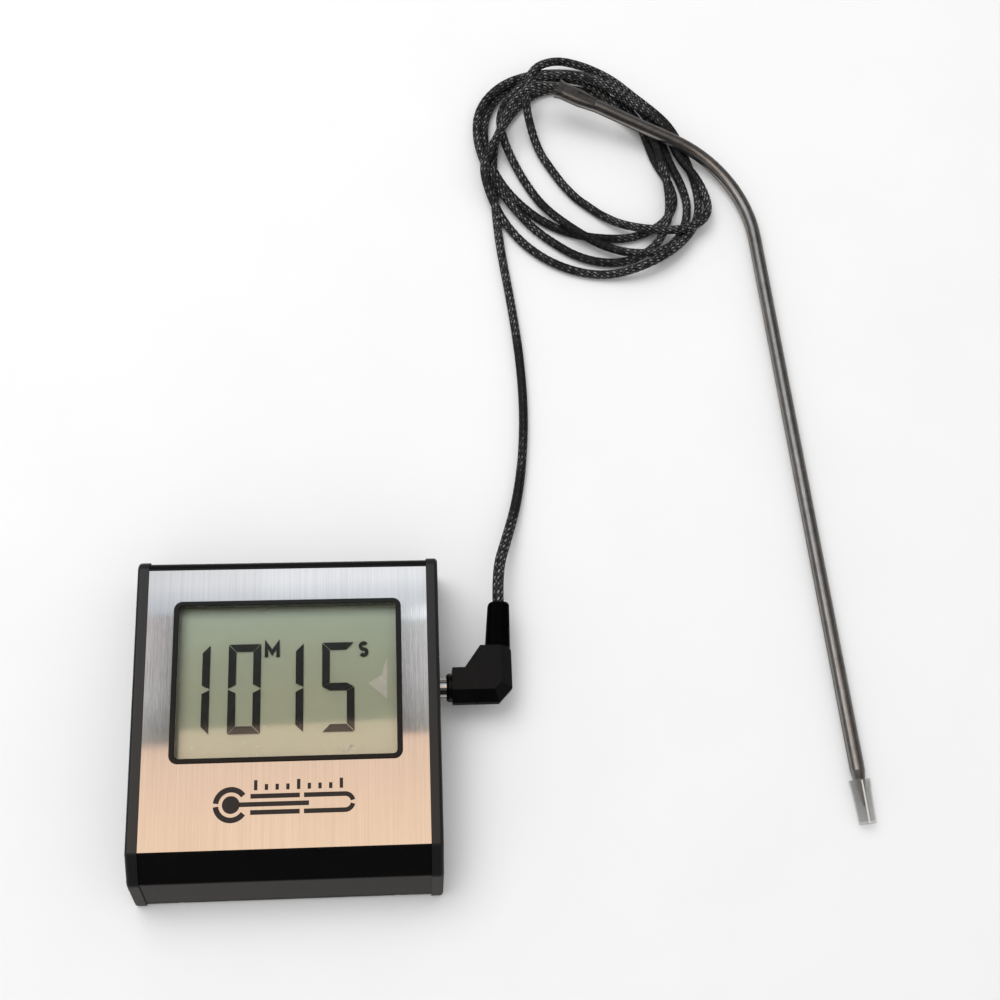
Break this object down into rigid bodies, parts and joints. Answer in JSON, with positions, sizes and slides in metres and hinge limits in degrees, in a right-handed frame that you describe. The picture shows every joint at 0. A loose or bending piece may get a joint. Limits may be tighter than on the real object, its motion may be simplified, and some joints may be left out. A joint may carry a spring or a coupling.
{
  "type": "wired meat thermometer",
  "caption": "Digital meat thermometer: a display unit with a steel face, a plug, a steel-braided cord with a loose coil, and a bent steel probe with a tip guard.",
  "frame": {"origin": "centre of the display unit's flat back, which lies on the table", "axes": "+Z out of the display, +Y towards the unit's top edge, +X towards the jack side"},
  "size_m": [0.1862, 0.2446, 0.0186],
  "materials": {
    "shell_black": "gloss black moulded plastic",
    "cap_black": "satin black moulded plastic",
    "back_black": "fine spark-eroded texture",
    "plate_steel": "vertical brushed grain",
    "bezel_black": "gloss",
    "lens_clear": "clear window",
    "lcd_grey": "reflective liquid crystal display",
    "white_plastic": "holder",
    "rubber_grey": "striped conductive rubber",
    "board_green": "solder mask",
    "resin_black": "poured resin",
    "part_metal": "plated",
    "switch_black": "moulded",
    "brass": "satin",
    "button_grey": "satin keys",
    "battery_label": "plain printed sleeve",
    "spring_steel": "nickel plated",
    "jack_metal": "nickel plated",
    "plug_black": "moulded",
    "cord_braid": "steel braid over a black core",
    "probe_steel": "dark polished steel",
    "sensor_resin": "coated bead and sleeve",
    "guard_clear": "clear soft sleeve"
  },
  "bodies": {
    "unit": {"front_shell": "shell_black", "face_plate": "plate_steel", "window_bezel": "bezel_black", "window_lens": "lens_clear", "end_cap_left": "cap_black", "end_cap_right": "cap_black", "rear_cover": "back_black", "lcd_cell": "lcd_grey", "lcd_reflector": "lcd_grey", "lcd_frame": "white_plastic", "zebra_strips": "rubber_grey", "main_board": "board_green", "chip_cover": "resin_black", "board_parts": "part_metal", "tact_switches": "switch_black", "piezo_disc": "brass", "unit_switch_body": "part_metal", "battery_tray": "back_black", "battery": "battery_label", "battery_contact": "spring_steel", "battery_spring": "spring_steel", "stand_pin": "spring_steel", "magnets": "part_metal", "case_screws": "spring_steel", "board_screws": "spring_steel", "jack_socket": "switch_black", "jack_contact": "brass"},
    "stand": {"stand_leg": "back_black"},
    "door": {"battery_door": "back_black"},
    "key_mode": {"button_mode": "button_grey"},
    "key_minute": {"button_minute": "button_grey"},
    "key_second": {"button_second": "button_grey"},
    "key_start_stop": {"button_start_stop": "button_grey"},
    "switch_knob": {"unit_switch_knob": "button_grey"},
    "probe_lead": {"plug_tip": "jack_metal", "plug_insulator": "plug_black", "plug_sleeve": "jack_metal", "plug_body": "plug_black", "plug_boot": "plug_black", "cord_lead": "cord_braid", "cord_coil": "cord_braid", "cord_tail": "cord_braid", "probe_crimp": "probe_steel", "probe_tube": "probe_steel", "probe_tip": "probe_steel", "thermistor": "sensor_resin", "sensor_leads": "sensor_resin"},
    "guard": {"tip_guard": "guard_clear"}
  },
  "joints": [
    {"name": "stand_hinge", "type": "hinge", "parent": "unit", "child": "stand", "pos_m": [0, 0.0175, 0.0019], "axis": [1, 0, 0], "range_deg": [0, 60]},
    {"name": "door_slide", "type": "slide", "parent": "unit", "child": "door", "axis": [0, -1, 0], "range_m": [0, 0.026]},
    {"name": "mode_press", "type": "slide", "parent": "unit", "child": "key_mode", "axis": [0, -1, 0], "range_m": [0, 0.0007], "stiffness_N_per_m": 400},
    {"name": "minute_press", "type": "slide", "parent": "unit", "child": "key_minute", "axis": [0, -1, 0], "range_m": [0, 0.0007], "stiffness_N_per_m": 400},
    {"name": "second_press", "type": "slide", "parent": "unit", "child": "key_second", "axis": [0, -1, 0], "range_m": [0, 0.0007], "stiffness_N_per_m": 400},
    {"name": "start_stop_press", "type": "slide", "parent": "unit", "child": "key_start_stop", "axis": [0, -1, 0], "range_m": [0, 0.0007], "stiffness_N_per_m": 400},
    {"name": "switch_slide", "type": "slide", "parent": "unit", "child": "switch_knob", "axis": [1, 0, 0], "range_m": [0, 0.003]},
    {"name": "plug_pull", "type": "slide", "parent": "unit", "child": "probe_lead", "axis": [1, 0, 0], "range_m": [0, 0.016]},
    {"name": "guard_pull", "type": "slide", "parent": "probe_lead", "child": "guard", "axis": [0.0755, -0.9971, 0], "range_m": [0, 0.02]}
  ]
}
